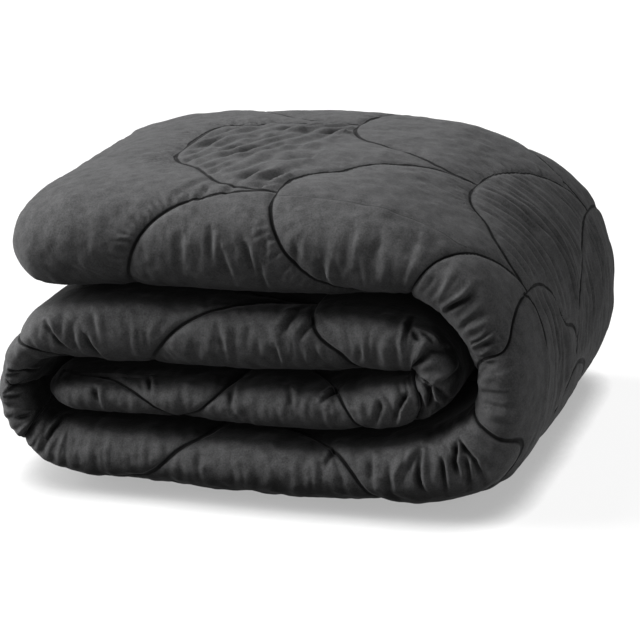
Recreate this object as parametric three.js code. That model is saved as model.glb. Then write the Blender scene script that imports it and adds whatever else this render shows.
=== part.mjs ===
// A filled summer duvet folded into a soft four-layer stack, in millimetres, +Z up.
// Front fold edges face -Y, the stack is wide along X, and the underside lies flat at z = 0.
import * as THREE from 'three';

// Sizes of the folded stack
const FRONT_Y = -203;
const BACK_Y = 203;
const INNER_SQUARENESS = 18;
const FREE_END_SKEW = 20;
const FREE_END_SKEW_REACH = 170;
const END_ROUNDING = 27;
const CORNER_ROUNDING = 40;
const END_SLIT = 0.07;

// Quilting: rows of half circles sewn through the filling, each row set half a circle along from the next
const CIRCLE_RADIUS = 122;
const SEAM_DEPTH = 4;
const SEAM_HALF_WIDTH = 11;
const PUFF_DEPTH = 3;
const PUFF_WIDTH = 26;

// How finely the skin is stepped along the strip and across it
const HIDDEN_STEP = 21;
const BEND_STEP = 13;
const BEND_SLOPE = 0.85;
const SHOWN_STEP = 11.5;
const SHOWN_START_X = 150;
const SHOWN_BEFORE = 230;
const END_STEPS = [0, 2, 6, 12, 20, 29];
const OUTER_FLAT_SEGMENTS = 23;
const FLAT_LIMIT = 0.85;
const FRONT_FOLD_FRACTIONS = [-1, -0.995, -0.98, -0.955, -0.915];
const BACK_FOLD_FRACTIONS = [0.915, 0.962, 0.99, 1];
const INNER_FRACTIONS = [0.99, 0.95, 0.85, 0.5, 0.1, -0.3, -0.62, -0.82, -0.9, -0.95, -0.98, -0.995];

// Centreline of the folded strip seen from the front, from the tucked-in end to the free end on top.
// Each row is one place along the strip: x, z, thickness there, how far its front and back edges
// stand in from the stack's edges, how square its fold is on the outward side, and how far it
// swells outward at the back edge.
const FOLD_ROWS = [
  { place: 'tucked end', x: -160, z: 80.5, thick: 38, front: 11, back: 16, square: 17, swell: 0 },
  { place: 'third layer left', x: -122, z: 80.7, thick: 39.8, front: 6, back: 11, square: 17, swell: 0 },
  { place: 'third layer', x: -62, z: 81.3, thick: 42.2, front: 4, back: 9, square: 17, swell: 0 },
  { place: 'third layer', x: 2, z: 82.2, thick: 44.3, front: 3, back: 8, square: 17, swell: 0 },
  { place: 'third layer', x: 62, z: 82.9, thick: 46.8, front: 4, back: 8, square: 17, swell: 0 },
  { place: 'third layer right', x: 110, z: 85, thick: 46.2, front: 5, back: 10, square: 17, swell: 0 },
  { place: 'inner bend low', x: 147, z: 92, thick: 44.5, front: 7, back: 11, square: 13, swell: 0 },
  { place: 'inner bend', x: 173, z: 104, thick: 37, front: 8, back: 12, square: 13, swell: 0 },
  { place: 'inner bend', x: 183.5, z: 120.5, thick: 33.5, front: 8, back: 12, square: 13, swell: 0 },
  { place: 'inner bend high', x: 175.5, z: 138, thick: 37, front: 6, back: 9, square: 13, swell: 0 },
  { place: 'second layer right', x: 150, z: 142, thick: 49, front: 4, back: 6, square: 16, swell: 0 },
  { place: 'second layer', x: 106, z: 140, thick: 61.4, front: 1, back: 4, square: 16, swell: 0 },
  { place: 'second layer', x: 56, z: 139, thick: 63, front: 0, back: 4, square: 16, swell: 0 },
  { place: 'second layer', x: 0, z: 138, thick: 65, front: 0, back: 4, square: 16, swell: 0 },
  { place: 'second layer', x: -62, z: 137, thick: 66.8, front: 0, back: 5, square: 16, swell: 0 },
  { place: 'second layer left', x: -116, z: 135.6, thick: 64.5, front: 2, back: 7, square: 16, swell: 0 },
  { place: 'left bend high', x: -152, z: 129.5, thick: 50, front: 4, back: 8, square: 10, swell: 0 },
  { place: 'left bend', x: -171, z: 115, thick: 38, front: 5, back: 9, square: 10, swell: 0 },
  { place: 'left bend', x: -182, z: 94, thick: 34, front: 6, back: 10, square: 10, swell: 0 },
  { place: 'left bend', x: -183, z: 71, thick: 34, front: 6, back: 10, square: 10, swell: 0 },
  { place: 'left bend low', x: -173, z: 50, thick: 41, front: 4, back: 8, square: 9, swell: 0 },
  { place: 'bottom layer left', x: -151, z: 35.7, thick: 50, front: 2, back: 6, square: 8, swell: 0 },
  { place: 'bottom layer left', x: -118, z: 30, thick: 59.4, front: 1, back: 5, square: 8, swell: 0 },
  { place: 'bottom layer', x: -64, z: 29.8, thick: 59.6, front: 0, back: 4, square: 8, swell: 0 },
  { place: 'bottom layer', x: 0, z: 29.3, thick: 58.6, front: 0, back: 3, square: 8, swell: 0 },
  { place: 'bottom layer', x: 64, z: 29, thick: 58, front: 0, back: 3, square: 8, swell: 0 },
  { place: 'bottom layer right', x: 128, z: 30, thick: 58.6, front: 0, back: 2, square: 8, swell: 0 },
  { place: 'outer bend low', x: 172, z: 36.3, thick: 66, front: 0, back: 1, square: 8, swell: 6 },
  { place: 'outer bend low', x: 207, z: 49.5, thick: 70, front: 0, back: 1, square: 8, swell: 14.5 },
  { place: 'outer bend', x: 231.5, z: 74, thick: 59, front: 0, back: 1, square: 10, swell: 13.5 },
  { place: 'outer bend', x: 241, z: 103, thick: 50, front: 1, back: 1, square: 10, swell: 7.5 },
  { place: 'outer bend', x: 239, z: 132, thick: 51, front: 1, back: 1, square: 9, swell: 6 },
  { place: 'outer bend high', x: 229, z: 163, thick: 54, front: 1, back: 1, square: 8, swell: 4 },
  { place: 'outer bend top', x: 206.5, z: 190.5, thick: 57, front: 1, back: 1, square: 7.5, swell: 0 },
  { place: 'outer bend top', x: 173, z: 206.5, thick: 62, front: 1, back: 1, square: 7, swell: 0 },
  { place: 'top layer right', x: 136, z: 213.5, thick: 78, front: 1, back: 2, square: 7, swell: 0 },
  { place: 'top layer', x: 76, z: 216.7, thick: 89.4, front: 1, back: 3, square: 7, swell: 0 },
  { place: 'top layer', x: 8, z: 217.5, thick: 91.8, front: 1, back: 3, square: 7, swell: 0 },
  { place: 'top layer', x: -58, z: 216.7, thick: 90.8, front: 2, back: 4, square: 7, swell: 0 },
  { place: 'top layer left', x: -112, z: 213, thick: 89, front: 3, back: 6, square: 7, swell: 0 },
  { place: 'free end', x: -150, z: 206.5, thick: 81, front: 6, back: 9, square: 7, swell: 0 },
  { place: 'free end edge', x: -183, z: 199, thick: 70, front: 10, back: 12, square: 7, swell: 0 },
];

// Where the columns of circle centres lie, counted from the free end: distance along the strip,
// then how far row 0 lies from the front fold tip and how far one row is from the next there
const QUILT_COLUMNS = [
  { column: -1, along: 1755, row: 190, pitch: 123 },
  { column: 0, along: 1636, row: 190, pitch: 123 },
  { column: 1, along: 1514, row: 190, pitch: 123 },
  { column: 2, along: 1390, row: 197, pitch: 125 },
  { column: 3, along: 1319, row: 211, pitch: 132 },
  { column: 4, along: 1236, row: 211, pitch: 132 },
  { column: 5, along: 1119, row: 180, pitch: 124 },
  { column: 6, along: 977, row: 177, pitch: 122 },
  { column: 7, along: 807, row: 158, pitch: 123 },
  { column: 8, along: 766, row: 166, pitch: 123 },
  { column: 9, along: 728, row: 176, pitch: 122 },
  { column: 10, along: 616, row: 176, pitch: 122 },
  { column: 11, along: 470, row: 176, pitch: 124 },
  { column: 12, along: 347, row: 180, pitch: 122 },
  { column: 13, along: 284, row: 170, pitch: 122 },
  { column: 14, along: 179, row: 166, pitch: 122 },
  { column: 15, along: 63, row: 170, pitch: 122 },
  { column: 16, along: -53, row: 170, pitch: 122 },
];
const FIRST_SEWN_COLUMN = 1;
const LAST_SEWN_COLUMN = 15;

// Where the sewing drifted from its even rows: a place on the strip, how far it drifted there each
// way, and over what reach the drift fades out
const SEWING_DRIFTS = [
  { along: 1650, across: 300, driftAlong: 26, driftAcross: 22, reach: 60 },
  { along: 1447, across: 230, driftAlong: -7, driftAcross: 14, reach: 45 },
  { along: 1477, across: 135, driftAlong: -8, driftAcross: -7, reach: 30 },
  { along: 1597, across: 115, driftAlong: -9, driftAcross: 6, reach: 35 },
  { along: 1280, across: 158, driftAlong: -18, driftAcross: -16, reach: 32 },
  { along: 1299, across: 12, driftAlong: -9, driftAcross: 4, reach: 22 },
  { along: 1268, across: 205, driftAlong: 6, driftAcross: -12, reach: 28 },
  { along: 1228, across: 40, driftAlong: 16, driftAcross: 12, reach: 30 },
  { along: 1364, across: 115, driftAlong: -5, driftAcross: 4, reach: 25 },
  { along: 441, across: -6, driftAlong: -8, driftAcross: 6, reach: 22 },
  { along: 945, across: -16, driftAlong: -8, driftAcross: -7, reach: 40 },
];

function smoothStep(low, high, value) {
  const t = Math.min(1, Math.max(0, (value - low) / (high - low)));
  return t * t * (3 - 2 * t);
}

// The strip's centreline and its other columns, followed by distance along the strip
const pathCurve = new THREE.CatmullRomCurve3(FOLD_ROWS.map((r) => new THREE.Vector3(r.x, 0, r.z)));
const bodyCurve = new THREE.CatmullRomCurve3(FOLD_ROWS.map((r) => new THREE.Vector3(r.thick, r.front, r.back)));
const formCurve = new THREE.CatmullRomCurve3(FOLD_ROWS.map((r) => new THREE.Vector3(r.x, r.square, r.swell)));
const PATH_SAMPLES = 2400;
const path = [];
let pathLength = 0;
for (let i = 0; i <= PATH_SAMPLES; i += 1) {
  const t = i / PATH_SAMPLES;
  const point = pathCurve.getPoint(t);
  const tangent = pathCurve.getTangent(t);
  const body = bodyCurve.getPoint(t);
  const form = formCurve.getPoint(t);
  if (i > 0) pathLength += point.distanceTo(path[i - 1].point);
  path.push({ point, tangent, body, form, s: pathLength });
}

function stripAt(distance) {
  let low = 0;
  let high = PATH_SAMPLES;
  while (high - low > 1) {
    const middle = (low + high) >> 1;
    if (path[middle].s <= distance) low = middle;
    else high = middle;
  }
  const a = path[low];
  const b = path[high];
  const t = Math.min(1, Math.max(0, (distance - a.s) / (b.s - a.s)));
  return {
    centre: a.point.clone().lerp(b.point, t),
    outward: new THREE.Vector3(
      a.tangent.z * (1 - t) + b.tangent.z * t,
      0,
      -(a.tangent.x * (1 - t) + b.tangent.x * t),
    ).normalize(),
    body: a.body.clone().lerp(b.body, t),
    square: a.form.y + (b.form.y - a.form.y) * t,
    swell: a.form.z + (b.form.z - a.form.z) * t,
  };
}

// Where the top layer passes a given x, counted as distance along the strip
function topDistanceAt(x) {
  let i = PATH_SAMPLES;
  while (path[i].point.x < x) i -= 1;
  return path[i].s;
}
const shownFrom = topDistanceAt(SHOWN_START_X) - SHOWN_BEFORE;

// A place on the strip counted in quilting columns and rows
function quiltPlace(along, across) {
  let evenAlong = along;
  let evenAcross = across;
  SEWING_DRIFTS.forEach((d) => {
    const far = Math.hypot(along - d.along, across - d.across) / d.reach;
    const pull = Math.exp(-(far ** 2));
    evenAlong -= pull * d.driftAlong;
    evenAcross -= pull * d.driftAcross;
  });
  let i = 1;
  while (i < QUILT_COLUMNS.length - 1 && QUILT_COLUMNS[i].along > evenAlong) i += 1;
  const a = QUILT_COLUMNS[i - 1];
  const b = QUILT_COLUMNS[i];
  const t = (a.along - evenAlong) / (a.along - b.along);
  const row = a.row + (b.row - a.row) * t;
  const pitch = a.pitch + (b.pitch - a.pitch) * t;
  return { q: a.column + t, b: (evenAcross - row) / pitch };
}

// How deep in a sewn groove a place on the strip lies, and how far it is from the nearest sewn line.
// Each half circle bulges toward the free end.
function seamAt(along, across) {
  const { q, b } = quiltPlace(along, across);
  let groove = 0;
  let nearest = 1e9;
  for (let n = Math.floor(b) - 1; n <= Math.floor(b) + 2; n += 1) {
    for (let m = Math.floor(q); m <= Math.floor(q) + 2; m += 1) {
      if ((m + n) % 2 === 0 || m < FIRST_SEWN_COLUMN || m > LAST_SEWN_COLUMN) continue;
      const away = Math.abs(Math.hypot(q - m, b - n) - 1) * CIRCLE_RADIUS;
      const firm = smoothStep(0.04, -0.04, q - m);
      if (firm < 0.02) continue;
      groove = Math.max(groove, firm * Math.exp(-((away / SEAM_HALF_WIDTH) ** 2)));
      nearest = Math.min(nearest, away + (1 - firm) * CIRCLE_RADIUS);
    }
  }
  return { groove, nearest };
}

// One closed ring of the strip's section at a distance along it
const outerFractions = [];
outerFractions.push(...FRONT_FOLD_FRACTIONS);
for (let i = 0; i <= OUTER_FLAT_SEGMENTS; i += 1) {
  outerFractions.push(-FLAT_LIMIT + (2 * FLAT_LIMIT * i) / OUTER_FLAT_SEGMENTS);
}
outerFractions.push(...BACK_FOLD_FRACTIONS);
const ringPlan = [];
outerFractions.forEach((u) => ringPlan.push({ u, side: 1 }));
INNER_FRACTIONS.forEach((u) => ringPlan.push({ u, side: -1 }));

function endFactor(distance) {
  const gap = Math.min(distance, pathLength - distance);
  const t = Math.max(0, 1 - gap / END_ROUNDING);
  return Math.max(END_SLIT, Math.sqrt(Math.max(0, 1 - t * t)));
}

function cornerInset(distance) {
  const gap = Math.min(distance, pathLength - distance);
  const t = Math.max(0, 1 - gap / CORNER_ROUNDING);
  return CORNER_ROUNDING * (1 - Math.sqrt(Math.max(0, 1 - t * t)));
}

function sectionHeight(u, half, square) {
  return half * Math.sqrt(Math.max(0, 1 - Math.abs(u) ** square));
}

function ringAt(distance) {
  const { centre, outward, body, square, swell } = stripAt(distance);
  const half = (body.x / 2) * endFactor(distance);
  const inset = cornerInset(distance);
  const yFront = FRONT_Y + body.y + inset;
  const yBack = BACK_Y - body.z - inset;
  const yMiddle = (yFront + yBack) / 2;
  const yHalf = (yBack - yFront) / 2;
  const wrap = [];
  let walked = 0;
  let lastY = -yHalf;
  let lastH = 0;
  for (let i = 0; i <= 240; i += 1) {
    const u = -1 + 2 * (i / 240) ** 1.6;
    const h = sectionHeight(u, half, square);
    walked += Math.hypot(u * yHalf - lastY, h - lastH);
    lastY = u * yHalf;
    lastH = h;
    wrap.push({ u, walked });
  }
  return ringPlan.map(({ u, side }) => {
    let i = 1;
    while (i < wrap.length - 1 && wrap[i].u < u) i += 1;
    const a = wrap[i - 1];
    const b = wrap[i];
    const t = Math.min(1, Math.max(0, (u - a.u) / Math.max(1e-9, b.u - a.u)));
    const across = side * (a.walked + (b.walked - a.walked) * t);
    const power = side > 0 ? square : INNER_SQUARENESS;
    const height = sectionHeight(u, half, power);
    const slopeY = (Math.abs(u) ** (power - 1) * power * Math.sign(u)) / yHalf;
    const slopeH = (2 * side * height) / (half * half);
    const size = Math.hypot(slopeY, slopeH) || 1;
    const { groove, nearest } = seamAt(distance, across);
    const full = 1 - Math.exp(-((nearest / PUFF_WIDTH) ** 2));
    const nearFold = smoothStep(0.84, 0.95, Math.abs(u));
    const openSkin = Math.max(
      smoothStep(shownFrom, shownFrom + 60, distance),
      smoothStep(0.3, 0.7, Math.abs(outward.x)),
    );
    const shown = side > 0 ? Math.max(openSkin, nearFold) : nearFold;
    const onFloor = outward.z < -0.8 && side > 0 ? nearFold : 1;
    const drop = (SEAM_DEPTH * groove + PUFF_DEPTH * (1 - full)) * shown * onFloor * endFactor(distance);
    const y = yMiddle + u * yHalf - (slopeY / size) * drop;
    const h = side * height - (slopeH / size) * drop;
    const toBack = (u + 1) / 2;
    const place = centre.clone().addScaledVector(outward, h + swell * toBack);
    place.x -= FREE_END_SKEW * toBack * smoothStep(pathLength - FREE_END_SKEW_REACH, pathLength, distance);
    return new THREE.Vector3(place.x, y, Math.max(0, place.z));
  });
}

// Stations along the strip, closer where the skin is seen
const stations = [];
END_STEPS.forEach((d) => stations.push(d));
let next = END_STEPS[END_STEPS.length - 1];
while (next < pathLength - END_STEPS[END_STEPS.length - 1] - 6) {
  const bending = Math.abs(stripAt(next).outward.z) < BEND_SLOPE;
  const hiddenStep = bending ? BEND_STEP : HIDDEN_STEP;
  next += next < shownFrom ? hiddenStep : SHOWN_STEP;
  stations.push(Math.min(next, pathLength - END_STEPS[END_STEPS.length - 1] - 4));
}
END_STEPS.slice().reverse().forEach((d) => stations.push(pathLength - d));

function buildStrip() {
  const rings = stations.map(ringAt);
  const count = ringPlan.length;
  const positions = [];
  const index = [];
  rings.forEach((ring) => ring.forEach((p) => positions.push(p.x, p.y, p.z)));
  for (let r = 0; r < rings.length - 1; r += 1) {
    for (let c = 0; c < count; c += 1) {
      const a = r * count + c;
      const b = r * count + ((c + 1) % count);
      const d = a + count;
      const e = b + count;
      index.push(a, b, d);
      index.push(b, e, d);
    }
  }
  // Both ends close on their own middle point
  [0, rings.length - 1].forEach((r) => {
    const middle = new THREE.Vector3();
    rings[r].forEach((p) => middle.addScaledVector(p, 1 / count));
    const centreIndex = positions.length / 3;
    positions.push(middle.x, middle.y, middle.z);
    for (let c = 0; c < count; c += 1) {
      const a = r * count + c;
      const b = r * count + ((c + 1) % count);
      if (r === 0) index.push(centreIndex, b, a);
      else index.push(centreIndex, a, b);
    }
  });
  const geometry = new THREE.BufferGeometry();
  geometry.setAttribute('position', new THREE.Float32BufferAttribute(positions, 3));
  geometry.setIndex(index);
  geometry.computeBoundingBox();
  const box = geometry.boundingBox;
  geometry.translate(-(box.min.x + box.max.x) / 2, -(box.min.y + box.max.y) / 2, 0);
  geometry.computeVertexNormals();
  return geometry;
}

const charcoalFabric = new THREE.MeshStandardMaterial({ color: 0x39393a, roughness: 0.92, metalness: 0 });
const duvet = new THREE.Mesh(buildStrip(), charcoalFabric);
duvet.name = 'folded_duvet';

const group = new THREE.Group();
group.add(duvet);

export default group;
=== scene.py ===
import math

import bmesh
import bpy
import numpy as np
from mathutils import Matrix, Vector


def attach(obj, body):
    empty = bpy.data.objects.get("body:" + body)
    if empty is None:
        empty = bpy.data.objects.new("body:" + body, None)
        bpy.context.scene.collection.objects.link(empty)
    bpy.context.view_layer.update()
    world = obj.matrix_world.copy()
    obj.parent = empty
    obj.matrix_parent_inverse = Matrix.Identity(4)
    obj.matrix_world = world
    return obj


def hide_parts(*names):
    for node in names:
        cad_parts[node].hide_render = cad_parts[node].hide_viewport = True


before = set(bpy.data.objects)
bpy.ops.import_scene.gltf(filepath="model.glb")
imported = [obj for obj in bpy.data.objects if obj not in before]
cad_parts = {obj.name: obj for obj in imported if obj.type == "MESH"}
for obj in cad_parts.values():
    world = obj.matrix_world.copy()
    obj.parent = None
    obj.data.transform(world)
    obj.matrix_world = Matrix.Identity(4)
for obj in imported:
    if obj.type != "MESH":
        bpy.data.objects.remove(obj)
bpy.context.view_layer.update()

MM = 0.001

# The folded strip's centreline from the tucked-in end to the free end on top, in millimetres:
# x, z, thickness, front inset, back inset, squareness of the outward side, swell at the back edge
FOLD_ROWS = np.array(
    [
        (-160, 80.5, 38, 13, 16, 11, 0),
        (-122, 80.7, 39.8, 9, 11, 11, 0),
        (-62, 81.3, 42.2, 8, 9, 11, 0),
        (2, 82.2, 44.3, 8, 8, 11, 0),
        (62, 82.9, 46.8, 8, 8, 11, 0),
        (110, 85, 46.2, 7, 10, 11, 0),
        (147, 92, 45.5, 6, 11, 18, 0),
        (173, 104, 41, 5, 12, 18, 0),
        (183.5, 120.5, 39, 5, 12, 18, 0),
        (175.5, 138, 42, 5, 9, 18, 0),
        (150, 142, 50, 6, 6, 13, 0),
        (106, 140, 61.4, 6, 4, 12, 0),
        (56, 139, 63, 6, 4, 12, 0),
        (0, 138, 65, 6, 4, 12, 0),
        (-62, 137, 66.8, 6, 5, 12, 0),
        (-116, 135.6, 64.5, 6, 7, 12, 0),
        (-152, 129.5, 50, 4, 8, 10, 0),
        (-171, 115, 38, 5, 9, 10, 0),
        (-182, 94, 34, 6, 10, 10, 0),
        (-183, 71, 34, 6, 10, 10, 0),
        (-173, 50, 41, 4, 8, 9, 0),
        (-151, 35.7, 50, 2, 6, 8, 0),
        (-118, 30, 59.4, 1, 5, 8, 0),
        (-64, 29.8, 59.6, 0, 4, 8, 0),
        (0, 29.3, 58.6, 0, 3, 8, 0),
        (64, 29, 58, 0, 3, 8, 0),
        (128, 30, 58.6, 0, 2, 8, 0),
        (172, 36.3, 66, 0, 1, 8, 6),
        (207, 49.5, 70, 0, 1, 8, 14.5),
        (231.5, 74, 59, 0, 1, 10, 13.5),
        (241, 103, 50, 1, 1, 10, 7.5),
        (239, 132, 51, 1, 1, 9, 6),
        (229, 163, 54, 1, 1, 8, 4),
        (206.5, 190.5, 57, 1, 1, 7.5, 0),
        (173, 206.5, 62, 1, 1, 7, 0),
        (136, 213.5, 78, 1, 2, 7, 0),
        (76, 216.7, 89.4, 1, 3, 7, 0),
        (8, 217.5, 91.8, 1, 3, 7, 0),
        (-58, 216.7, 90.8, 2, 4, 7, 0),
        (-112, 213, 89, 3, 6, 7, 0),
        (-150, 206.5, 81, 6, 9, 7, 0),
        (-183, 199, 70, 10, 12, 7, 0),
    ]
)
# The strip's front and back edges, and the stack's middle, which is moved to the frame's origin
FRONT_Y = -203
BACK_Y = 203
MIDDLE_X = 34.5
MIDDLE_Y = -0.6
# How square the fold is on its inner side: places along the strip and squareness
INNER_SQUARENESS = np.array(
    [(0, 9), (280, 9), (320, 18), (400, 18), (440, 9), (1060, 9), (1130, 18), (1330, 18), (1400, 9)]
)
# How far the free end's back corner trails, and over what length before the end
FREE_END_SKEW = 20
FREE_END_SKEW_REACH = 170
# How far from the strip's ends they start to close and to draw in at the corners, and the share of the
# thickness left at the very end
END_ROUNDING = 27
CORNER_ROUNDING = 40
END_SLIT = 0.03
# Half the gap between two layers that face each other
HALF_GAP = 0.7
# How far the bends' corners stand out at the front: places along the strip and the distance
CORNER_SET_OUT = np.array(
    [(300, 0), (337, 3), (357, 3), (385, 0), (1090, 0), (1150, 2), (1190, 3.5), (1225, 1.5), (1255, 0)]
)

# Quilting columns counted from the free end: distance along the strip, where row 0 lies, row pitch
QUILT_COLUMNS = np.array(
    [
        (-1, 1755, 190, 123),
        (0, 1636, 190, 123),
        (1, 1514, 190, 123),
        (2, 1390, 197, 125),
        (3, 1319, 211, 132),
        (4, 1236, 211, 132),
        (5, 1119, 180, 124),
        (6, 977, 177, 122),
        (7, 807, 158, 123),
        (8, 766, 166, 123),
        (9, 728, 176, 122),
        (10, 616, 176, 122),
        (11, 470, 176, 124),
        (12, 347, 180, 122),
        (13, 284, 170, 122),
        (14, 179, 166, 122),
        (15, 63, 170, 122),
        (16, -53, 170, 122),
    ]
)
FIRST_SEWN_COLUMN = 1
LAST_SEWN_COLUMN = 15
CIRCLE_RADIUS = 122
# One arc of the row beyond the border: its centre along and across, radius, and how far it runs across
BORDER_ARC = (16, 88, 123, -28, 42)

# Where the sewing drifted from its even rows: a place along and across, how far it drifted, over what reach
SEWING_DRIFTS = [
    (1650, 300, 26, 22, 60),
    (1447, 230, -7, 14, 45),
    (1477, 135, -8, -7, 30),
    (1597, 115, -9, 6, 35),
    (1280, 158, -18, -16, 32),
    (1299, 12, -9, 4, 22),
    (1268, 205, 6, -12, 28),
    (1228, 40, 16, 12, 30),
    (1364, 115, -5, 4, 25),
    (441, -6, -8, 6, 22),
    (945, -16, -8, -7, 40),
]


def smooth_step(low, high, value):
    t = np.clip((value - low) / (high - low), 0, 1)
    return t * t * (3 - 2 * t)


def curve_through(rows, where):
    """A centripetal curve through the rows, read at places from 0 to 1."""
    count = len(rows)
    place = (count - 1) * where
    first = np.minimum(place.astype(int), count - 2)
    part = (place - first)[:, None]
    ends = np.vstack([2 * rows[0] - rows[1], rows, 2 * rows[-1] - rows[-2]])
    p0, p1, p2, p3 = (ends[first + k] for k in range(4))

    def spacing(a, b):
        return np.maximum(((a - b) ** 2).sum(1) ** 0.25, 1e-4)[:, None]

    d0 = spacing(p0, p1)
    d1 = spacing(p1, p2)
    d2 = spacing(p2, p3)
    start = ((p1 - p0) / d0 - (p2 - p0) / (d0 + d1) + (p2 - p1) / d1) * d1
    stop = ((p2 - p1) / d1 - (p3 - p1) / (d1 + d2) + (p3 - p2) / d2) * d1
    square = -3 * p1 + 3 * p2 - 2 * start - stop
    cube = 2 * p1 - 2 * p2 + start + stop
    return p1 + start * part + square * part**2 + cube * part**3


# Least and most that the outward face is longer than the centreline where the strip turns
OUTER_STRETCH = (0.45, 2.2)


class Strip:
    """The folded strip, read by distance along its centreline."""

    def __init__(self):
        where = np.linspace(0, 1, 2401)
        flat = np.zeros(len(FOLD_ROWS))
        centre = curve_through(np.c_[FOLD_ROWS[:, 0], flat, FOLD_ROWS[:, 1]], where)
        body = curve_through(FOLD_ROWS[:, 2:5], where)
        form = curve_through(np.c_[FOLD_ROWS[:, 0], FOLD_ROWS[:, 5:7]], where)
        heading = np.gradient(centre, axis=0)
        heading /= np.linalg.norm(heading, axis=1)[:, None]
        steps = np.linalg.norm(np.diff(centre, axis=0), axis=1)
        self.along = np.r_[0, np.cumsum(steps)]
        self.length = self.along[-1]
        turn = np.gradient(np.unwrap(np.arctan2(-heading[:, 0], heading[:, 2])), self.along)
        stretch = np.clip(1 + turn * body[:, 0] / 2, *OUTER_STRETCH)
        mean = (stretch[1:] + stretch[:-1]) / 2
        self.outer = np.r_[0, np.cumsum(mean * np.diff(self.along))]
        self.table = np.c_[centre[:, 0], centre[:, 2], heading[:, 2], -heading[:, 0], body, form[:, 1:]]

    def read(self, along):
        return [np.interp(along, self.along, column) for column in self.table.T]

    def ends(self, along):
        gap = np.minimum(along, self.length - along)
        close = np.sqrt(np.clip(1 - np.maximum(0, 1 - gap / END_ROUNDING) ** 2, 0, None))
        round_in = np.sqrt(np.clip(1 - np.maximum(0, 1 - gap / CORNER_ROUNDING) ** 2, 0, None))
        return np.maximum(END_SLIT, close), CORNER_ROUNDING * (1 - round_in)

    def fold(self, along, share):
        """Folds flat cloth onto the stack. share runs from -1 at the back edge's inner side through 0 at
        the front fold to 1 at the back edge's outward side. Returns places, outward directions, the
        distance round the section from the front fold and the room to the next layer."""
        stations, which = np.unique(np.round(along, 4), return_inverse=True)
        x, z, nx, nz, thick, front, back, square, swell = self.read(stations)
        size = np.hypot(nx, nz)
        nx, nz = nx / size, nz / size
        close, inset = self.ends(stations)
        half = thick / 2 * close
        y_front = FRONT_Y + front + inset
        y_back = BACK_Y - back - inset
        y_middle = (y_front + y_back) / 2
        y_half = (y_back - y_front) / 2
        skew = FREE_END_SKEW * smooth_step(self.length - FREE_END_SKEW_REACH, self.length, stations)
        set_out = np.interp(stations, CORNER_SET_OUT[:, 0], CORNER_SET_OUT[:, 1])
        inner_square = np.interp(stations, INNER_SQUARENESS[:, 0], INNER_SQUARENESS[:, 1])
        v = np.linspace(0, 1, 401)
        samples = np.where(v < 0.5, -1 + (2 * v) ** 2.4, 1 - (2 * (1 - v)) ** 2.4)
        place = np.zeros((len(along), 3))
        outward = np.zeros((len(along), 3))
        across = np.zeros(len(along))
        room = np.zeros(len(along))
        order = np.argsort(which, kind="stable")
        cuts = np.searchsorted(which[order], np.arange(len(stations) + 1))
        for i in range(len(stations)):
            mine = order[cuts[i] : cuts[i + 1]]
            for side in (1, -1):
                at = mine[share[mine] >= 0] if side > 0 else mine[share[mine] < 0]
                if len(at) == 0:
                    continue
                power = square[i] if side > 0 else inner_square[i]
                height = half[i] * np.sqrt(np.clip(1 - np.abs(samples) ** power, 0, None))
                steps = np.hypot(np.diff(samples) * y_half[i], np.diff(height))
                walked = np.r_[0, np.cumsum(steps)]
                w = np.abs(share[at]) * walked[-1]
                u = np.interp(w, walked, samples)
                h = side * np.interp(w, walked, height)
                slope_y = np.abs(u) ** (power - 1) * power * np.sign(u) / y_half[i]
                slope_h = 2 * h / half[i] ** 2
                slope = np.hypot(slope_y, slope_h) + 1e-9
                to_back = (u + 1) / 2
                rise = h + swell[i] * to_back + set_out[i] * (1 - to_back)
                place[at, 0] = x[i] + nx[i] * rise - skew[i] * to_back
                place[at, 1] = y_middle[i] + u * y_half[i]
                place[at, 2] = z[i] + nz[i] * rise
                outward[at, 0] = nx[i] * slope_h / slope
                outward[at, 1] = slope_y / slope
                outward[at, 2] = nz[i] * slope_h / slope
                across[at] = side * w
                toward = np.maximum(np.abs(slope_h) / slope, 0.05)
                room[at] = (half[i] + HALF_GAP - np.abs(h)) / toward
        return place, outward, across, room


strip = Strip()


def quilt_place(along, across):
    """Counts a place on the strip in quilting columns and rows."""
    columns = QUILT_COLUMNS[::-1]
    drift_along = 0
    drift_across = 0
    for drift in SEWING_DRIFTS:
        near = np.exp(-((along - drift[0]) ** 2 + (across - drift[1]) ** 2) / drift[4] ** 2)
        drift_along = drift_along + near * drift[2]
        drift_across = drift_across + near * drift[3]
    along = along - drift_along
    across = across - drift_across
    q = np.interp(along, columns[:, 1], columns[:, 0])
    row = np.interp(along, columns[:, 1], columns[:, 2])
    pitch = np.interp(along, columns[:, 1], columns[:, 3])
    return q, (across - row) / pitch


# A distance past any seam or crease, in millimetres
FAR_AWAY = 1e3


def seam_distance(q, b, along, across):
    """Distance to the nearest sewn line, in millimetres."""
    arc_along, arc_across, radius, arc_from, arc_to = BORDER_ARC
    on_arc = (across > arc_from) & (across < arc_to) & (along > arc_along)
    on_arc = on_arc & (along < arc_along + 2 * radius)
    from_arc = np.abs(np.hypot(along - arc_along, across - arc_across) - radius)
    nearest = np.where(on_arc, from_arc, FAR_AWAY)
    ahead = np.floor(q) + 1
    for extra in (0, 1):
        m = ahead + extra
        lower = 2 * np.floor((b - m - 1) / 2) + m + 1
        for n in (lower, lower + 2):
            reach = np.hypot(q - m, b - n)
            away = np.abs(reach - 1) * CIRCLE_RADIUS
            sewn = (m >= FIRST_SEWN_COLUMN) & (m <= LAST_SEWN_COLUMN)
            nearest = np.where(sewn, np.minimum(nearest, away), nearest)
    return nearest


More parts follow.
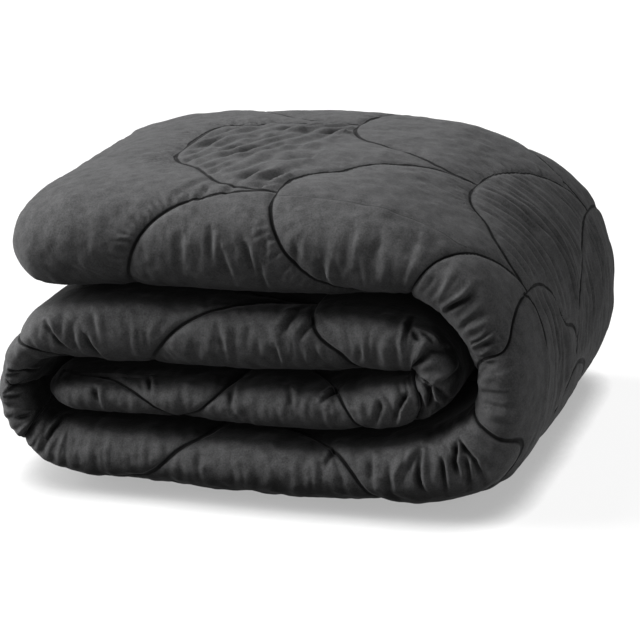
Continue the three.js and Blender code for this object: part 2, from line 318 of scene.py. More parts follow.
def cloth_noise(x, y, seed):
    """Smooth random hills, about one to a unit, from -1 to 1."""
    rng = np.random.default_rng(seed)
    grid = rng.uniform(-1, 1, (64, 64))
    xi = np.floor(x).astype(int)
    yi = np.floor(y).astype(int)
    fx = x - xi
    fy = y - yi
    fx = fx * fx * fx * (fx * (fx * 6 - 15) + 10)
    fy = fy * fy * fy * (fy * (fy * 6 - 15) + 10)
    a = grid[xi % 64, yi % 64]
    b = grid[(xi + 1) % 64, yi % 64]
    c = grid[xi % 64, (yi + 1) % 64]
    d = grid[(xi + 1) % 64, (yi + 1) % 64]
    return (a * (1 - fx) + b * fx) * (1 - fy) + (c * (1 - fx) + d * fx) * fy


# Flat cloth before it is folded: stations along the strip and places round it
BASE_STEP = 10.4
# Places along the strip: from where the outward face shows, from where it has no layer beyond it, and the
# stretch of the left bend
SHOWN_FROM = 1157
OPEN_FROM = 1117
LEFT_BEND = (607, 867)
STATION_COUNT = int(strip.outer[-1] / BASE_STEP) + 1
STATIONS = np.interp(np.linspace(0, strip.outer[-1], STATION_COUNT), strip.outer, strip.along)
ROUND_OUTWARD = np.linspace(0, 1, 44)
ROUND_INNER = -np.r_[np.linspace(0, 0.16, 8), np.linspace(0.2, 0.8, 14), np.linspace(0.86, 1, 7)]
ROUND = np.r_[ROUND_INNER[::-1], ROUND_OUTWARD[1:]]
# Half the way round a section, and how far from the front fold the cloth is cut finer, in millimetres
HALF_ROUND = 450
FRONT_FOLD_REACH = 62
FINE_FOLD_REACH = 46
# Shares of the way round: just past the front fold on the inner side, and near the back edge
PAST_FRONT = -0.1
NEAR_BACK = 0.86


def place_on_strip(co):
    """The place along the strip and round its section of points of the flat grid."""
    i = (co[:, 0] + 0.5) * (len(STATIONS) - 1)
    j = (co[:, 1] + 0.5) * (len(ROUND) - 1)
    return np.interp(i, np.arange(len(STATIONS)), STATIONS), np.interp(j, np.arange(len(ROUND)), ROUND)


def cut_finer(bm, with_back=False, fronts_only=False):
    """Halves the flat cloth's squares where the cloth shows."""
    edges = list(bm.edges)
    middle = np.array([(e.verts[0].co + e.verts[1].co)[:2] for e in edges]) / 2
    along, share = place_on_strip(middle)
    front = np.abs(share) < FRONT_FOLD_REACH / HALF_ROUND
    shown = (along > SHOWN_FROM) & (share > PAST_FRONT)
    bend = (along > LEFT_BEND[0]) & (along < LEFT_BEND[1]) & (share > 0)
    back = with_back & (np.abs(share) > NEAR_BACK)
    wanted = front | shown | bend | back
    if fronts_only:
        wanted = np.abs(share) < FINE_FOLD_REACH / HALF_ROUND
    chosen = [e for e, cut in zip(edges, wanted) if cut]
    bmesh.ops.subdivide_edges(bm, edges=chosen, cuts=1, use_grid_fill=True)


# A crease pressed along the cloth, where it was first folded lengthwise: along and across
LONG_CREASE = np.array([(1200, 60), (1240, 65), (1285, 75), (1310, 75), (1370, 50), (1400, 55), (1510, 60)])
# Its clear part round the large bend and its faint part on top: from and to, depth, half width,
# half width of the painted shade line in it and how dark that is
LONG_CREASE_PARTS = [
    (1200, 1320, 3.0, 4.0, 4.2, 0.95),
    (1365, 1510, 1.2, 3.0, 1.1, 0.5),
]


# Single creases in the cloth: depth, half width, then places along the strip and round the fold
CREASES = [
    (5.0, 3.5, (1350, -15), (1345, 5), (1345, 20)),
    (2.0, 4.0, (1330, -10), (1330, 15)),
    (3.0, 3.0, (1310, -15), (1315, 10)),
    (3.0, 3.0, (1305, -15), (1310, 10)),
    (2.5, 3.0, (1295, -15), (1300, 5)),
    (2.5, 3.0, (1290, -15), (1290, 0)),
    (2.0, 5.0, (1265, -15), (1265, 10)),
    (4.0, 3.5, (1205, -20), (1205, 0), (1195, 25)),
    (4.0, 3.5, (1200, -20), (1190, -10), (1185, 5)),
    (3.0, 3.0, (1180, -15), (1170, 20)),
    (3.0, 3.0, (1200, -5), (1185, 20)),
    (3.5, 4.0, (1160, -25), (1155, -5), (1155, 15)),
    (3.0, 3.0, (390, 5), (390, 20), (390, 35)),
    (6.0, 4.0, (375, -10), (375, 10), (370, 25)),
    (2.5, 2.8, (385, 20), (380, 10)),
    (2.5, 2.8, (380, 20), (375, 15)),
    (3.0, 2.5, (355, 5), (360, 30)),
    (3.0, 2.5, (355, -10), (350, 10), (345, 35)),
    (3.5, 2.6, (350, -5), (340, 25)),
    (3.5, 2.6, (350, 0), (325, 25)),
    (3.5, 2.6, (350, 0), (335, 20)),
    (4.0, 3.2, (330, -10), (320, 0), (310, 15)),
    (3.5, 3.2, (340, -5), (335, 10), (325, 25)),
    (3.0, 4.0, (305, -5), (295, 15)),
    (3.5, 3.2, (695, 15), (685, -5), (675, -15)),
    (3.0, 4.0, (660, 0), (650, -25)),
    (2.0, 5.0, (655, 20), (650, 0)),
    (3.5, 3.0, (745, 0), (740, -15), (745, -35)),
    (3.0, 2.8, (750, 0), (745, -15)),
    (2.5, 3.0, (765, 0), (755, -20)),
    (2.5, 3.0, (770, 0), (770, -20)),
    (3.0, 3.0, (790, -5), (795, -20)),
    (4.0, 3.0, (805, 5), (805, -5), (805, -20)),
    (3.5, 3.2, (825, -10), (825, -20), (830, -35)),
    (3.5, 4.0, (55, -10), (60, 5)),
    (2.5, 3.0, (100, -25), (105, -10)),
    (3.0, 5.0, (490, 15), (480, 40)),
    (3.0, 4.0, (475, 10), (465, 30)),
    (3.0, 4.0, (495, 0), (495, -20)),
    (2.5, 5.0, (545, 15), (540, -10)),
    (2.5, 4.0, (175, -20), (175, 5)),
    (2.5, 4.0, (225, -20), (230, 0)),
    (3.0, 4.0, (255, -15), (265, -30)),
    (2.5, 4.0, (1075, -15), (1080, -35)),
    (3.0, 5.0, (1115, -20), (1115, 0)),
    (3.0, 5.0, (1145, -10), (1160, -30)),
    (2.0, 5.0, (1545, 0), (1540, -30)),
    (2.3, 5.0, (1525, 5), (1520, -25)),
    (2.6, 5.0, (1515, -10), (1515, -40)),
    (2.0, 5.0, (1555, 15), (1555, -10)),
    (1.6, 6.0, (1580, 10), (1580, -15)),
    (2.0, 5.0, (1465, -5), (1460, -30)),
    (1.6, 5.0, (1485, 10), (1485, -15)),
    (1.3, 6.0, (1440, 25), (1440, -10)),
    (1.3, 6.0, (1420, 25), (1420, -10)),
    (1.3, 6.0, (1395, 30), (1395, -10)),
    (1.3, 5.0, (1595, 50), (1585, 70), (1575, 90)),
    (1.3, 4.5, (1575, 50), (1570, 75)),
    (1.3, 4.5, (1555, 60), (1550, 80)),
    (1.0, 5.0, (1685, -15), (1665, -30)),
    (1.0, 5.0, (1675, -15), (1655, -35)),
]


# How narrow a crease's valley is beside its half width, and over what length the long crease fades
CREASE_SHARPNESS = 0.62
LONG_CREASE_FADE = 8


def from_long_crease(along, across):
    return across - np.interp(along, LONG_CREASE[:, 0], LONG_CREASE[:, 1])


def crease_depth(along, across):
    """Depth of the creases at each place of the cloth, with the cloth raised beside them."""
    total = np.zeros(along.shape)
    for start, stop, depth, width, _, _ in LONG_CREASE_PARTS:
        reached = smooth_step(start - LONG_CREASE_FADE, start + LONG_CREASE_FADE, along)
        reached = reached * smooth_step(stop + LONG_CREASE_FADE, stop - LONG_CREASE_FADE, along)
        total += depth * reached * fold_profile(from_long_crease(along, across), CREASE_SHARPNESS * width)
    for depth, width, *places in CREASES:
        places = np.array(places, float)
        lengths = np.linalg.norm(np.diff(places, axis=0), axis=1)
        total_length = lengths.sum()
        walked = 0.0
        low = places.min(0) - 5 * width
        high = places.max(0) + 5 * width
        close = (along > low[0]) & (along < high[0]) & (across > low[1]) & (across < high[1])
        at = np.nonzero(close)[0]
        if len(at) == 0:
            continue
        x = along[at]
        y = across[at]
        distance = np.full(len(at), FAR_AWAY)
        share = np.zeros(len(at))
        for start, stop, length in zip(places[:-1], places[1:], lengths):
            run = (stop - start) / length
            t = np.clip((x - start[0]) * run[0] + (y - start[1]) * run[1], 0, length)
            d = np.hypot(x - start[0] - t * run[0], y - start[1] - t * run[1])
            left = run[0] * (y - start[1]) - run[1] * (x - start[0])
            closer = d < np.abs(distance)
            distance = np.where(closer, np.where(left > 0, d, -d), distance)
            share = np.where(closer, (walked + t) / total_length, share)
            walked += length
        taper = smooth_step(-0.25, 0.2, share) * (1 - 0.75 * smooth_step(0.55, 1.0, share))
        total[at] += depth * taper * fold_profile(distance, CREASE_SHARPNESS * width)
    return total


def fold_profile(off, width):
    """A soft fold across its line: a valley, steep on one side, with a ridge beside the steep side."""
    side = np.where(off < 0, 0.6 * width, 1.3 * width)
    return np.exp(-((off / side) ** 2)) - 0.5 * np.exp(-(((off + 1.8 * width) / (1.1 * width)) ** 2))


def pleats(x, y, spacing, length, width, seed, rows=False):
    """Soft pleats of uneven strength: x runs across them and y along them. With rows they start again
    all along y, otherwise there is one row at y = 0. Returns a depth up to about 1."""
    sway = cloth_noise(x / (2.2 * spacing), y / (1.1 * length), seed)
    moved = x / spacing + 0.42 * sway
    rng = np.random.default_rng(seed + 1)
    strength = rng.uniform(0.15, 1.0, 512)
    middle = rng.uniform(-0.5, 0.5, 512)
    reach = rng.uniform(0.45, 1.0, 512)
    total = np.zeros(x.shape)
    base_row = np.floor(y / length) if rows else np.zeros(x.shape)
    for row in (-1, 0, 1) if rows else (0,):
        for neighbour in (-1, 0, 1):
            index = np.floor(moved) + neighbour
            k = (index + 37 * (base_row + row)).astype(int) % 512
            off = (moved - index - 0.5) * spacing
            centre = middle[k] + (base_row + row + 0.5 if rows else 0)
            window = np.exp(-(((y / length - centre) / ((0.55 if rows else 1) * reach[k])) ** 2))
            total += strength[k] * fold_profile(off, width) * window
    return total


# Sewn lines, in millimetres: the thread's groove and its half width, the wider dip and its half width,
# and the puff beside a seam at the front fold with its reach
GROOVE = (1.9, 2.5)
DIP = (0.3, 8)
DIP_AT_FOLD = 1.0
PUFF = (1.8, 24)
FOLD_REACH = 70


def crown_and_seams(along, across, q, b):
    """How far the quilted cloth stands from the smooth folded form, in millimetres."""
    away = seam_distance(q, b, along, across)
    uneven = 1 + 0.3 * cloth_noise(along / 55, across / 55, 3)
    near_fold = np.exp(-((across / FOLD_REACH) ** 2))
    groove = GROOVE[0] * np.exp(-((away / GROOVE[1]) ** 1.6))
    groove = groove + (DIP[0] + DIP_AT_FOLD * near_fold) * np.exp(-((away / DIP[1]) ** 1.5))
    puff = PUFF[0] * near_fold * np.exp(-((away / PUFF[1]) ** 2))
    return -(groove + puff) * uneven


# Short pleats square to a sewn circle: its column and row, from and to degrees round it, reach, depth
SEAM_PLEATS = [
    (1, 0, -35, 60, 17, 3.2),
    (3, 0, -40, 75, 15, 2.4),
    (1, -2, 15, 70, 12, 1.6),
    (2, -1, -80, -20, 14, 1.6),
    (2, -1, 10, 60, 12, 1.0),
    (4, -1, -70, 60, 12, 1.4),
]


# How softly a row of seam pleats starts and stops, in degrees, and the pleats' spacing and half width
PLEAT_FADE = 8
PLEAT_SPACING = 6.6
PLEAT_WIDTH = 1.7


def seam_pleats(q, b):
    total = np.zeros(q.shape)
    for number, (column, row, start, stop, reach, depth) in enumerate(SEAM_PLEATS):
        outside = (np.hypot(q - column, b - row) - 1) * CIRCLE_RADIUS
        turn = np.degrees(np.arctan2(b - row, column - q))
        round_it = np.radians(turn) * CIRCLE_RADIUS
        window = smooth_step(start - PLEAT_FADE, start + PLEAT_FADE, turn)
        window = window * smooth_step(stop + PLEAT_FADE, stop - PLEAT_FADE, turn)
        window = window * smooth_step(1.5, 4, outside) * (q < column)
        middle = outside - 0.5 * reach
        folds = pleats(round_it, middle, PLEAT_SPACING, 0.8 * reach, PLEAT_WIDTH, 101 + number)
        total += depth * window * folds
    return total


# How strongly the front fold is gathered: places along the strip and strength there
GATHERS = np.array(
    [
        (0, 0.4),
        (250, 0.5),
        (330, 0.9),
        (420, 0.8),
        (500, 0.5),
        (640, 0.35),
        (720, 0.6),
        (790, 0.9),
        (880, 0.4),
        (1040, 0.45),
        (1140, 0.9),
        (1290, 0.9),
        (1390, 0.4),
        (1460, 0.5),
        (1520, 0.35),
        (1590, 0.15),
        (1750, 0.1),
    ]
)


# Layers of pleats, in millimetres: gathers at the front fold, ribs at the large bend, long wrinkles in the
# cell on top, and puckers along every seam
WIDE_GATHERS = {"spacing": 15, "length": 26, "width": 3.6, "seed": 11}
NARROW_GATHERS = {"spacing": 9.5, "length": 18, "width": 2.3, "seed": 21}
WIDE_RIBS = {"spacing": 13.5, "length": 120, "width": 3.8, "seed": 31, "rows": True}
NARROW_RIBS = {"spacing": 8, "length": 70, "width": 2.2, "seed": 41, "rows": True}
LONG_WRINKLES = {"spacing": 18, "length": 60, "width": 5.2, "seed": 51, "rows": True}
CROSS_WRINKLES = {"spacing": 19, "length": 42, "width": 4.4, "seed": 61, "rows": True}
SEAM_PUCKERS = {"spacing": 11, "length": 22, "width": 2.6, "seed": 71, "rows": True}
WIDE_GATHER_DEPTH = 2.6
NARROW_GATHER_DEPTH = 1.8
RIB_DEPTH = 5.2
WRINKLE_DEPTH = 4.8
PUCKER_DEPTH = 0.7
PUCKER_REACH = 13
GATHER_REACH = 34
# Ribs fade in from and to these places along the strip, and away from the front fold
RIBS_FADE_IN = (1086, 1157)
RIBS_FADE_OUT = (1418, 1358)
RIBS_FROM_FOLD = (62, 100)
# How strong the ribs are in the ribbed cell, in the cells below it and in the cells on top
RIBS_IN_CELL = 1.0
RIBS_BELOW = 0.45
RIBS_ON_TOP = 0.12


def front_gathers(along, across):
    gathers = WIDE_GATHER_DEPTH * pleats(along, across, **WIDE_GATHERS)
    gathers = gathers + NARROW_GATHER_DEPTH * pleats(along + 7, across, **NARROW_GATHERS)
    fold = np.exp(-(((across + 2) / GATHER_REACH) ** 2))
    return gathers * np.interp(along, GATHERS[:, 0], GATHERS[:, 1]) * fold


def bend_ribs(along, across, q, b):
    ribs = pleats(across, along, **WIDE_RIBS) + 0.5 * pleats(across + 4, along, **NARROW_RIBS)
    bend = smooth_step(*RIBS_FADE_IN, along) * smooth_step(*RIBS_FADE_OUT, along)
    side = smooth_step(*RIBS_FROM_FOLD, across)
    ribbed = np.where(np.hypot(q - 3, b) < 1, RIBS_IN_CELL, np.where(q > 3, RIBS_BELOW, RIBS_ON_TOP))
    return RIB_DEPTH * ribs * ribbed * bend * side


def cell_wrinkles(along, across, q, b):
    """Long wrinkles that cross each other in the first row's middle cell."""
    slant = 0.88 * along + 0.47 * across + 10 * cloth_noise(along / 50, across / 50, 45)
    wrinkles = pleats(slant, 0.88 * across - 0.47 * along, **LONG_WRINKLES)
    turned = 0.98 * along + 0.2 * across
    wrinkles = wrinkles + 0.7 * pleats(turned, across - 0.2 * along, **CROSS_WRINKLES)
    return WRINKLE_DEPTH * wrinkles * ((q < 1) & (np.hypot(q - 1, b) < 1))


def cloth_relief(along, across, q, b):
    """Wrinkles, gathers and ribs of the cloth, in millimetres."""
    away = seam_distance(q, b, along, across)
    free = 1 - np.exp(-((away / 5) ** 2))
    near_seam = np.exp(-((away / PUCKER_REACH) ** 2))
    puckers = pleats(along - 0.4 * across, across + 0.4 * along, **SEAM_PUCKERS)
    relief = -front_gathers(along, across) * free
    relief -= bend_ribs(along, across, q, b) * (1 - near_seam)
    relief -= cell_wrinkles(along, across, q, b) * free
    relief -= PUCKER_DEPTH * puckers * near_seam * free
    relief -= seam_pleats(q, b)
    relief += 0.7 * cloth_noise(along / 17, across / 17, 81) + 0.4 * cloth_noise(along / 8, across / 8, 91)
    return relief


# Filling: a short cloth simulation blows the cloth out between its seams, with these values
FILLING_SETTINGS = {
    "vertex_group_mass": "held",
    "quality": 4,
    "mass": 0.2,
    "tension_stiffness": 15,
    "compression_stiffness": 15,
    "shear_stiffness": 5,
    "bending_stiffness": 1.0,
    "use_pressure": True,
    "uniform_pressure_force": 4.0,
    "shrink_min": -0.012,
}
FILL_FRAMES = 20
# In millimetres: how near a seam the cloth is held, how far in it starts and how far out it may go
SEAM_HOLD = 4.5
START_INSET = 0.2
PUFF_LIMIT = 6.0
# Share of the blown-out height that is kept, and what is added to that share at the front fold
SWELL_SHARE = 0.25
SWELL_AT_FOLD = 0.25
SWELL_FOLD_REACH = 60
# The cloth may move freely from and to these distances from the front fold, shares of the way to the back
# edge, and slants of the outward face
FREE_AT_FRONT = (95, 62)
FREE_AT_BACK = (0.8, 0.9)
FREE_ON_SIDES = (0.3, 0.7)
SHOWN_FADE = 60


def open_places(along, share, across, outward):
    """How freely the cloth may move: 1 where it shows, 0 where layers press on each other."""
    near_front = smooth_step(*FREE_AT_FRONT, np.abs(across))
    near_back = smooth_step(*FREE_AT_BACK, np.abs(share))
    open_skin = np.maximum(
        smooth_step(SHOWN_FROM, SHOWN_FROM + SHOWN_FADE, along),
        smooth_step(*FREE_ON_SIDES, np.abs(outward[:, 0])),
    )
    open_skin = np.where(share > 0, open_skin, 0)
    return np.maximum(np.maximum(near_front, near_back), open_skin)


def filled_shift(bm, along, share):
    """Runs the simulation on the coarse cloth and returns how far each vertex moved, in millimetres."""
    place, outward, across, _ = strip.fold(along, share)
    q, b = quilt_place(along, across)
    away = seam_distance(q, b, along, across)
    free = open_places(along, share, across, outward)
    start = place - outward * (START_INSET * free)[:, None]
    flat = [v.co.copy() for v in bm.verts]
    for v, p in zip(bm.verts, start * MM):
        v.co = p
    mesh = bpy.data.meshes.new("filling")
    bm.to_mesh(mesh)
    mesh.flip_normals()
    for v, co in zip(bm.verts, flat):
        v.co = co
    pad = bpy.data.objects.new("filling", mesh)
    bpy.context.scene.collection.objects.link(pad)
    held = pad.vertex_groups.new(name="held")
    hold = np.maximum(np.exp(-((away / SEAM_HOLD) ** 2)), 1 - free)
    hold = np.maximum(hold, (np.abs(share) > 0.995) | (along < 3) | (along > strip.length - 3))
    for i in np.nonzero(hold > 0.02)[0]:
        held.add([int(i)], float(min(1, hold[i])), "REPLACE")
    cloth = pad.modifiers.new("filling", "CLOTH")
    for name, value in FILLING_SETTINGS.items():
        setattr(cloth.settings, name, value)
    cloth.settings.effector_weights.gravity = 0
    cloth.collision_settings.use_collision = False
    cloth.collision_settings.use_self_collision = False
    cloth.point_cache.frame_start = 1
    cloth.point_cache.frame_end = FILL_FRAMES
    scene = bpy.context.scene
    for number in range(1, FILL_FRAMES + 1):
        scene.frame_set(number)
    blown = pad.evaluated_get(bpy.context.evaluated_depsgraph_get()).to_mesh()
    after = np.empty(3 * len(blown.vertices))
    blown.vertices.foreach_get("co", after)
    scene.frame_set(1)
    shift = after.reshape(-1, 3) / MM - place
    bpy.data.objects.remove(pad)
    out = (shift * outward).sum(1)
    near_fold = np.exp(-((across / SWELL_FOLD_REACH) ** 2))
    kept = (SWELL_SHARE + SWELL_AT_FOLD * near_fold) * out
    shift += outward * (np.clip(kept, -0.3 - 3 * near_fold, PUFF_LIMIT) - out)[:, None]
    size = np.linalg.norm(shift, axis=1)
    shift *= (np.minimum(1, PUFF_LIMIT / np.maximum(size, 1e-6)) * free)[:, None]
    return shift


def within_room(shift, outward, room, along, share):
    """Keeps the cloth from pressing into the next layer where two layers face each other."""
    at_left_bend = (along > LEFT_BEND[0]) & (along < LEFT_BEND[1])
    open_side = (share > 0) & ((along > OPEN_FROM) | at_left_bend)
    out = (shift * outward).sum(1)
    over = np.where(open_side, 0, np.maximum(0, out - room))
    return shift - outward * over[:, None]


def smoothed(values, edges, rounds):
    """Averages each vertex's value with its neighbours'."""
    count = np.bincount(edges.ravel(), minlength=len(values))[:, None]
    for _ in range(rounds):
        total = np.zeros_like(values)
        np.add.at(total, edges[:, 0], values[edges[:, 1]])
        np.add.at(total, edges[:, 1], values[edges[:, 0]])
        values = 0.5 * values + 0.5 * total / count
    return values


WELD_DISTANCE = 0.00005


def make_duvet():
    bm = bmesh.new()
    bmesh.ops.create_grid(bm, x_segments=len(STATIONS) - 1, y_segments=len(ROUND) - 1, size=0.5)
    cut_finer(bm, with_back=True)
    moved = bm.verts.layers.float_vector.new("moved")
    along, share = place_on_strip(np.array([v.co[:2] for v in bm.verts]))
    for v, shift in zip(bm.verts, filled_shift(bm, along, share)):
        v[moved] = shift
    cut_finer(bm)
    cut_finer(bm, fronts_only=True)
    along, share = place_on_strip(np.array([v.co[:2] for v in bm.verts]))
    bm.verts.index_update()
    edges = np.array([[v.index for v in e.verts] for e in bm.edges])
    shift = smoothed(np.array([v[moved] for v in bm.verts]), edges, 4)
    place, outward, across, room = strip.fold(along, share)
    q, b = quilt_place(along, across)
    lift = crown_and_seams(along, across, q, b)
    relief = cloth_relief(along, across, q, b) - crease_depth(along, across)
    free = open_places(along, share, across, outward)
    shut = smooth_step(1.0, 0.98, np.abs(share)) * smooth_step(0, 8, along)
    shut = shut * smooth_step(0, 8, strip.length - along)
    shift = (shift + outward * ((lift + relief) * free)[:, None]) * shut[:, None]
    place = place + within_room(shift, outward, room, along, share)
    place[:, 0] -= MIDDLE_X
    place[:, 1] -= MIDDLE_Y
    place[:, 2] = np.maximum(0, place[:, 2])
    for v, p in zip(bm.verts, place * MM):
        v.co = p
    uv = bm.loops.layers.uv.new("quilting")
    cloth_uv = bm.loops.layers.uv.new("cloth")
    qb = np.c_[q, b]
    sw = np.c_[along, across] * MM
    crease_uv = bm.loops.layers.uv.new("long crease")
    crease_off = from_long_crease(along, across) * MM
    bm.verts.index_update()
    for face in bm.faces:
        face.smooth = True
        for loop in face.loops:
            i = loop.vert.index
            loop[uv].uv = qb[i]
            loop[cloth_uv].uv = sw[i]
            loop[crease_uv].uv = (crease_off[i], 0)
    rim = [v for v in bm.verts if v.is_boundary]
    bmesh.ops.remove_doubles(bm, verts=rim, dist=WELD_DISTANCE)
    rims = [e for e in bm.edges if e.is_boundary]
    bmesh.ops.holes_fill(bm, edges=rims, sides=0)
    bmesh.ops.recalc_face_normals(bm, faces=bm.faces)
    mesh = bpy.data.meshes.new("duvet")
    bm.to_mesh(mesh)
    bm.free()
    duvet = bpy.data.objects.new("duvet", mesh)
    bpy.context.scene.collection.objects.link(duvet)
    return duvet


# Charcoal brushed cloth: the shader's own values
CHARCOAL = (0.066, 0.066, 0.067, 1)
CLOTH_SURFACE = {
    "Roughness": 0.85,
    "Specular IOR Level": 0.1,
    "Sheen Weight": 0.1,
    "Sheen Roughness": 0.5,
    "Sheen Tint": (0.8, 0.8, 0.82, 1),
}
# Nap of the cloth as fine grain, soft smudges and broad clouds: noise scale, detail and roughness, then how
# much it tones the colour and how much it raises the face
NAP = [
    (700.0, 3.0, 0.65, 1.4, 0.35),
    (120.0, 4.0, 0.6, 1.2, 0.9),
    (22.0, 3.0, 0.55, 0.55, 0.0),
]
# Sewn line: distance from its middle where it starts to show and where it is full, in millimetres
SEAM_EDGE = 2.2
SEAM_CORE = 0.9
BORDER_ARC_WIDTH = 1.4
# How dark the sewn lines make the colour: partly the thread line, partly painted shade of the seam's groove
SEAM_DARKNESS = 0.99
SEAM_SINKS = 2.2
BUMP_STRENGTH = 0.6
BUMP_DISTANCE = 0.0011
# Painted shade in the hollows between the layers: how far off a layer still darkens the cloth's colour, in
# metres, and how open a place is where the colour is painted black and where it keeps its full colour
HOLLOW_REACH = 0.045
HOLLOW_BLACK = 0.42
HOLLOW_CLEAR = 0.96
SHADE_SAMPLES = 8


class Mixture:
    """Small helper that adds shader nodes by name and joins them."""

    def __init__(self, material):
        material.use_nodes = True
        self.tree = material.node_tree
        self.shader = self.tree.nodes["Principled BSDF"]

    def add(self, kind, settings=None, **inputs):
        node = self.tree.nodes.new(kind)
        for name, value in (settings or {}).items():
            setattr(node, name, value)
        for name, value in inputs.items():
            self.feed(node.inputs[name], value)
        return node

    def feed(self, socket, value):
        if isinstance(value, bpy.types.NodeSocket):
            self.tree.links.new(value, socket)
        else:
            socket.default_value = value

    def maths(self, operation, first, second=0.0):
        node = self.tree.nodes.new("ShaderNodeMath")
        node.operation = operation
        for socket, value in zip(node.inputs, (first, second)):
            self.feed(socket, value)
        return node.outputs[0]

    def product(self, first, *others):
        for other in others:
            first = self.maths("MULTIPLY", first, other)
        return first

    def distance(self, first, second):
        squares = self.maths("ADD", self.product(first, first), self.product(second, second))
        return self.maths("SQRT", squares)

    def flat_place(self, uv_map):
        """The X and Y of a UV map."""
        place = self.add("ShaderNodeUVMap", {"uv_map": uv_map}).outputs["UV"]
        return self.add("ShaderNodeSeparateXYZ", Vector=place).outputs

    def ramp(self, value, start, stop, low=0.0, high=1.0, kind="SMOOTHSTEP"):
        node = self.add("ShaderNodeMapRange", {"interpolation_type": kind}, Value=value)
        for name, number in (("From Min", start), ("From Max", stop), ("To Min", low), ("To Max", high)):
            node.inputs[name].default_value = number
        return node.outputs["Result"]

    def openness(self, reach):
        """1 in the open, less where other faces are near."""
        shade = self.add("ShaderNodeAmbientOcclusion", {"samples": SHADE_SAMPLES}, Distance=reach)
        return shade.outputs["AO"]


def quilting_line(mix):
    """1 on the sewn half circles, which have radius 1 in quilting columns and rows."""
    quilting = mix.flat_place("quilting")
    q = quilting["X"]
    b = quilting["Y"]
    column = mix.maths("ADD", mix.maths("FLOOR", q), 1.0)
    past = mix.maths("SUBTRACT", q, column)
    pairs = mix.product(mix.maths("SUBTRACT", mix.maths("SUBTRACT", b, column), 1.0), 0.5)
    row = mix.maths("ADD", mix.product(mix.maths("ROUND", pairs), 2.0), column)
    row = mix.maths("ADD", row, 1.0)
    over = mix.maths("SUBTRACT", b, row)
    off = mix.maths("ABSOLUTE", mix.maths("SUBTRACT", mix.distance(past, over), 1.0))
    line = mix.ramp(mix.product(off, CIRCLE_RADIUS), SEAM_EDGE, SEAM_CORE)
    after_first = mix.maths("GREATER_THAN", q, FIRST_SEWN_COLUMN - 1)
    before_last = mix.maths("LESS_THAN", q, LAST_SEWN_COLUMN)
    return mix.product(line, mix.product(after_first, before_last))


def border_arc_line(mix, flat):
    """1 on the arc of the row beyond the border."""
    arc_along, arc_across, radius, arc_from, arc_to = (number * MM for number in BORDER_ARC)
    past = mix.maths("SUBTRACT", flat["X"], arc_along)
    over = mix.maths("SUBTRACT", flat["Y"], arc_across)
    off = mix.maths("ABSOLUTE", mix.maths("SUBTRACT", mix.distance(past, over), radius))
    return mix.product(
        mix.maths("LESS_THAN", off, BORDER_ARC_WIDTH * MM),
        mix.maths("GREATER_THAN", past, 0.0),
        mix.maths("GREATER_THAN", flat["Y"], arc_from),
        mix.maths("LESS_THAN", flat["Y"], arc_to),
    )


def long_crease_line(mix, flat):
    """Painted shade along the long crease, clear round the large bend and faint on top."""
    off = mix.maths("ABSOLUTE", mix.flat_place("long crease")["X"])
    line = 0.0
    for start, stop, _, _, width, strength in LONG_CREASE_PARTS:
        crease = mix.product(
            mix.maths("LESS_THAN", off, width * MM),
            strength,
            mix.maths("GREATER_THAN", flat["X"], start * MM),
            mix.maths("LESS_THAN", flat["X"], stop * MM),
        )
        line = mix.maths("MAXIMUM", line, crease)
    return line


def nap(mix):
    """Tone of the colour, about 1, and height of the face."""
    place = mix.add("ShaderNodeTexCoord").outputs["Object"]
    tone = 1.0
    height = 0.0
    for scale, detail, roughness, toning, raising in NAP:
        noise = mix.add("ShaderNodeTexNoise", Vector=place, Scale=scale, Detail=detail, Roughness=roughness)
        value = noise.outputs["Fac"]
        tone = mix.maths("ADD", tone, mix.product(mix.maths("SUBTRACT", value, 0.5), toning))
        if raising:
            height = mix.maths("ADD", height, mix.product(value, raising))
    return tone, height


def make_cloth():
    cloth = bpy.data.materials.new("charcoal brushed cloth")
    mix = Mixture(cloth)
    for name, value in CLOTH_SURFACE.items():
        mix.shader.inputs[name].default_value = value
    flat = mix.flat_place("cloth")
    line = mix.maths("MAXIMUM", quilting_line(mix), border_arc_line(mix, flat))
    # Painted shade in the long crease
    line = mix.maths("MAXIMUM", line, long_crease_line(mix, flat))
    tone, height = nap(mix)
    # The sewn lines and the long crease darken the colour: thread lines with painted shade of their
    # grooves, and painted shade in the crease
    thread_and_painted_groove_shade = mix.maths("SUBTRACT", 1.0, mix.product(line, SEAM_DARKNESS))
    # Painted shade: ambient occlusion darkens the colour in the gaps between layers, in creases and along
    # seams
    painted_hollow_shade = mix.ramp(mix.openness(HOLLOW_REACH), HOLLOW_BLACK, HOLLOW_CLEAR)
    colour = mix.add("ShaderNodeMix", {"data_type": "RGBA", "blend_type": "MULTIPLY"})
    colour.inputs["Factor"].default_value = 1.0
    colour.inputs["A"].default_value = CHARCOAL
    mix.feed(colour.inputs["B"], mix.product(tone, thread_and_painted_groove_shade, painted_hollow_shade))
    mix.feed(mix.shader.inputs["Base Color"], colour.outputs["Result"])
    height = mix.maths("SUBTRACT", height, mix.product(line, SEAM_SINKS))
    bump = mix.add("ShaderNodeBump", Height=height, Strength=BUMP_STRENGTH, Distance=BUMP_DISTANCE)
    mix.feed(mix.shader.inputs["Normal"], bump.outputs["Normal"])
    return cloth


# Pale floor that glows, so that it stays white, with a painted soft contact shadow under the duvet where
# its glow is dimmed
FLOOR_HALF_SIZE = 9
FLOOR_GREY = 0.14
FLOOR_ROUGHNESS = 0.9
CONTACT_REACH = 0.035
CONTACT_OPENNESS = (0.5, 1.0)
FLOOR_GLOW = (0.4, 0.9)


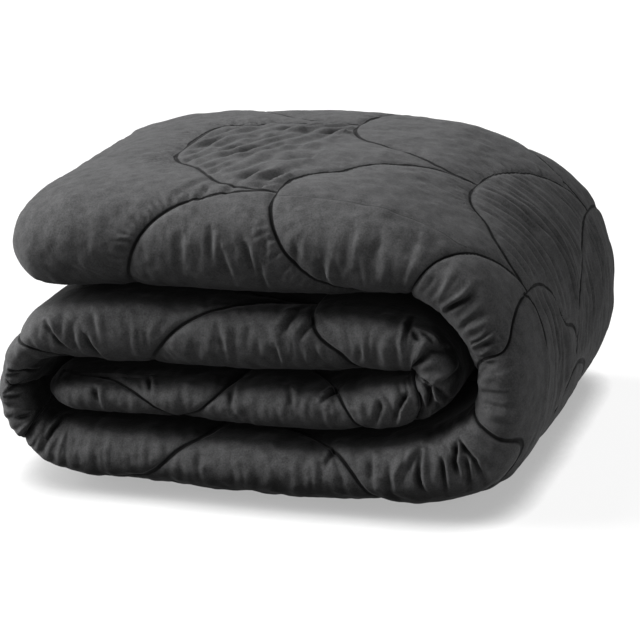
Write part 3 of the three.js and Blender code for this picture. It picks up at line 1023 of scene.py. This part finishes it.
def make_floor():
    bm = bmesh.new()
    bmesh.ops.create_grid(bm, x_segments=1, y_segments=1, size=FLOOR_HALF_SIZE)
    mesh = bpy.data.meshes.new("floor")
    bm.to_mesh(mesh)
    bm.free()
    floor = bpy.data.objects.new("floor", mesh)
    bpy.context.scene.collection.objects.link(floor)
    paper = bpy.data.materials.new("pale floor")
    mix = Mixture(paper)
    mix.shader.inputs["Base Color"].default_value = (FLOOR_GREY, FLOOR_GREY, FLOOR_GREY, 1)
    mix.shader.inputs["Roughness"].default_value = FLOOR_ROUGHNESS
    mix.shader.inputs["Emission Color"].default_value = (1, 1, 1, 1)
    # Painted contact shadow: the glow fades where ambient occlusion finds the duvet near
    glow_with_painted_shadow = mix.ramp(mix.openness(CONTACT_REACH), *CONTACT_OPENNESS, *FLOOR_GLOW, kind="LINEAR")
    mix.feed(mix.shader.inputs["Emission Strength"], glow_with_painted_shadow)
    mesh.materials.append(paper)
    floor.visible_diffuse = False
    return floor


# Each light: name, strength, width in degrees, the direction it comes from
LIGHTS = [
    ("large side light", 4.3, 34, (-0.9, -0.12, 0.4)),
    ("high side light", 2.8, 40, (-0.65, 0, 0.76)),
    ("weak light from the right", 0.8, 40, (0.85, -0.1, 0.5)),
    ("wide front light", 0.55, 60, (0.3, -0.95, 0.3)),
]
SKY_STRENGTH = 0.04


def make_lights():
    scene = bpy.context.scene
    scene.view_settings.view_transform = "Standard"
    scene.world = bpy.data.worlds.new("studio")
    scene.world.use_nodes = True
    sky = scene.world.node_tree.nodes["Background"]
    sky.inputs["Color"].default_value = (1, 1, 1, 1)
    sky.inputs["Strength"].default_value = SKY_STRENGTH
    for name, strength, width, source in LIGHTS:
        light_data = bpy.data.lights.new(name, "SUN")
        light_data.energy = strength
        light_data.angle = math.radians(width)
        light = bpy.data.objects.new(name, light_data)
        light.rotation_mode = "QUATERNION"
        light.rotation_quaternion = (-Vector(source)).to_track_quat("-Z", "Y")
        scene.collection.objects.link(light)


# Camera at the photograph's angle: degrees round from the front, up and of roll, the lens in pixels of the
# 640-pixel picture, the distance and the point looked at in metres
AZIMUTH = math.radians(17.5)
ELEVATION = math.radians(17.01)
ROLL = math.radians(-1.7)
LENS_PIXELS = 2019.0
PICTURE_PIXELS = 640
SENSOR_WIDTH = 36
DISTANCE = 1.8134
TARGET = Vector((-0.00076, 0, 0.10073))


def make_camera():
    back = Vector(
        (
            math.sin(AZIMUTH) * math.cos(ELEVATION),
            -math.cos(AZIMUTH) * math.cos(ELEVATION),
            math.sin(ELEVATION),
        )
    )
    right = Vector((math.cos(AZIMUTH), math.sin(AZIMUTH), 0))
    up = back.cross(right)
    right_rolled = math.cos(ROLL) * right + math.sin(ROLL) * up
    up_rolled = -math.sin(ROLL) * right + math.cos(ROLL) * up
    camera_data = bpy.data.cameras.new("camera")
    camera_data.sensor_width = SENSOR_WIDTH
    camera_data.lens = LENS_PIXELS / PICTURE_PIXELS * SENSOR_WIDTH
    camera = bpy.data.objects.new("camera", camera_data)
    camera.rotation_mode = "QUATERNION"
    camera.rotation_quaternion = Matrix((right_rolled, up_rolled, back)).transposed().to_quaternion()
    camera.location = TARGET + back * DISTANCE
    bpy.context.scene.collection.objects.link(camera)
    bpy.context.scene.camera = camera


duvet = make_duvet()
duvet.data.materials.append(make_cloth())
floor = make_floor()
make_lights()
make_camera()

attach(duvet, "root")
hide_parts("folded_duvet")
